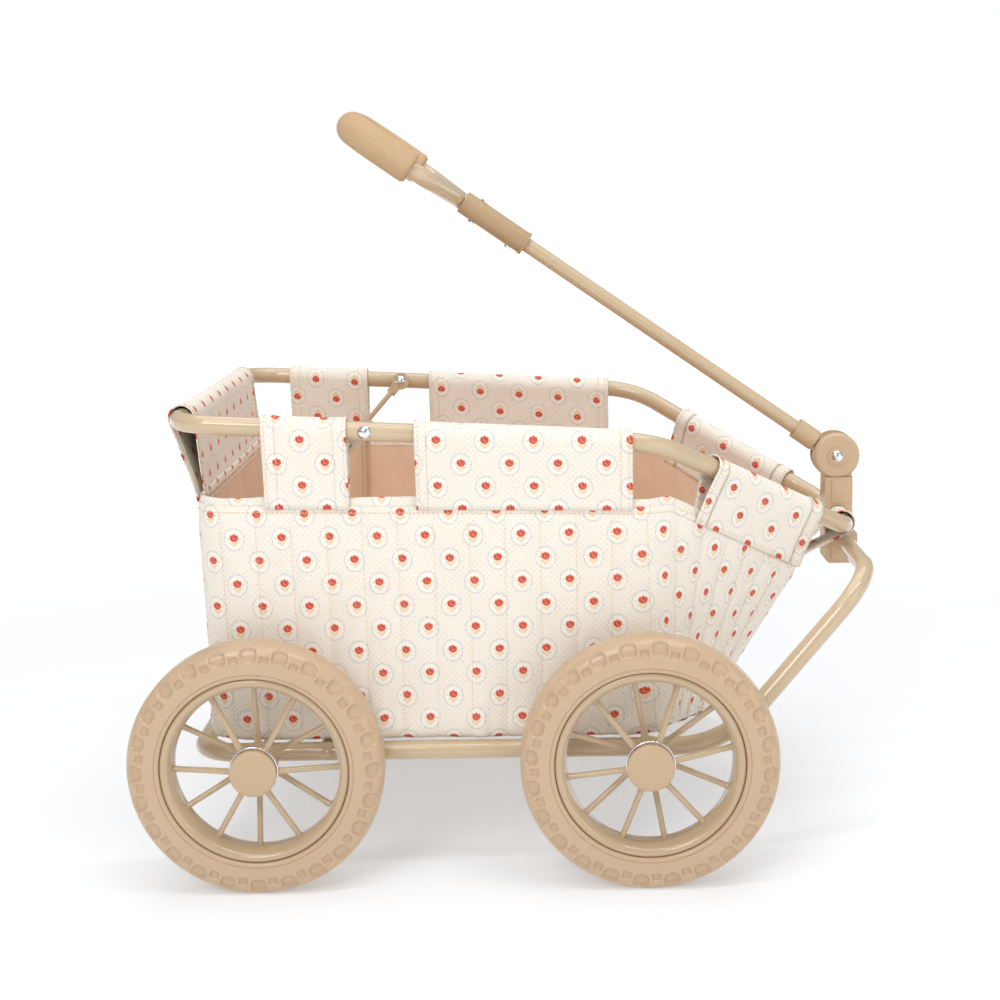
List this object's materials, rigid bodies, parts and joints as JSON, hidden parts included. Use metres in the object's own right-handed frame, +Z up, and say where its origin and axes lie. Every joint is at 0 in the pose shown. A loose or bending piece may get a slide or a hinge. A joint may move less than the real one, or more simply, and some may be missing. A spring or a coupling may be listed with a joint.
{
  "type": "wagon with pull handle",
  "caption": "Small four-wheeled cloth wagon on a steel tube frame, with a swivelling, telescoping-style pull handle that ends in a foam-covered loop.",
  "frame": {"origin": "bottom centre of the wagon as it stands, half way along its length and width, on the floor", "axes": "+X forwards to the handle's bracket, +Y to the left, +Z up"},
  "size_m": [0.6, 0.4908, 0.6036],
  "materials": {
    "frame_paint": "gloss sand paint on steel tube",
    "tyre_foam": "matte sand coloured solid foam tyre",
    "rim_plastic": "gloss sand coloured moulded rim",
    "bright_steel": "bright plated steel",
    "axle_steel": "zinc plated steel rod",
    "bracket_plastic": "satin sand coloured moulding",
    "spring_steel": "plain spring steel",
    "grip_foam": "matte closed cell foam",
    "print_cloth": "quilted printed cotton",
    "lining_cloth": "plain dusty pink cotton",
    "board": "hardboard floor panel"
  },
  "bodies": {
    "chassis": {"axle_clips": "axle_steel", "axle_washers": "axle_steel", "base_board": "board", "base_loop": "frame_paint", "basket_lining": "lining_cloth", "basket_shell": "print_cloth", "brace_left": "frame_paint", "brace_right": "frame_paint", "bracket_front": "bracket_plastic", "bracket_rear": "bracket_plastic", "bracket_screws": "bright_steel", "foot_rivets": "bright_steel", "front_axle": "axle_steel", "front_flap": "print_cloth", "front_tab_left": "print_cloth", "front_tab_right": "print_cloth", "middle_tab_left": "print_cloth", "middle_tab_right": "print_cloth", "rail_rivets": "bright_steel", "rear_axle": "axle_steel", "rear_flap": "print_cloth", "rear_tab_left": "print_cloth", "rear_tab_right": "print_cloth", "top_rail": "frame_paint"},
    "swivel": {"swivel_head": "bracket_plastic", "swivel_pin": "axle_steel", "pivot_bolt": "bright_steel"},
    "handle": {"handle_socket": "bracket_plastic", "socket_rivet": "bright_steel", "lower_tube": "frame_paint", "collar": "bracket_plastic", "collar_rivet": "bright_steel", "handle_loop": "frame_paint", "foam_grip": "grip_foam"},
    "button": {"snap_button": "bright_steel", "button_spring": "spring_steel"},
    "wheel_rear_right": {"tyre_rear_right": "tyre_foam", "rim_rear_right": "rim_plastic", "hub_cap_rear_right": "rim_plastic", "hub_ring_rear_right": "bright_steel"},
    "wheel_front_right": {"tyre_front_right": "tyre_foam", "rim_front_right": "rim_plastic", "hub_cap_front_right": "rim_plastic", "hub_ring_front_right": "bright_steel"},
    "wheel_rear_left": {"tyre_rear_left": "tyre_foam", "rim_rear_left": "rim_plastic", "hub_cap_rear_left": "rim_plastic", "hub_ring_rear_left": "bright_steel"},
    "wheel_front_left": {"tyre_front_left": "tyre_foam", "rim_front_left": "rim_plastic", "hub_cap_front_left": "rim_plastic", "hub_ring_front_left": "bright_steel"}
  },
  "joints": [
    {"name": "rear_right_spin", "type": "hinge", "parent": "chassis", "child": "wheel_rear_right", "pos_m": [-0.2, -0.222, 0.1], "axis": [0, 1, 0], "continuous": true},
    {"name": "front_right_spin", "type": "hinge", "parent": "chassis", "child": "wheel_front_right", "pos_m": [0.105, -0.222, 0.1], "axis": [0, 1, 0], "continuous": true},
    {"name": "rear_left_spin", "type": "hinge", "parent": "chassis", "child": "wheel_rear_left", "pos_m": [-0.2, 0.222, 0.1], "axis": [0, 1, 0], "continuous": true},
    {"name": "front_left_spin", "type": "hinge", "parent": "chassis", "child": "wheel_front_left", "pos_m": [0.105, 0.222, 0.1], "axis": [0, 1, 0], "continuous": true},
    {"name": "handle_swivel", "type": "hinge", "parent": "chassis", "child": "swivel", "pos_m": [0.28, 0, 0.285], "axis": [0, 0, 1], "range_deg": [-60, 60]},
    {"name": "handle_pitch", "type": "hinge", "parent": "swivel", "child": "handle", "pos_m": [0.28, 0, 0.303], "axis": [0, 1, 0], "range_deg": [-20, 125]},
    {"name": "button_press", "type": "slide", "parent": "handle", "child": "button", "axis": [0.5764, 0, 0.8171], "range_m": [0, 0.002], "stiffness_N_per_m": 400}
  ]
}
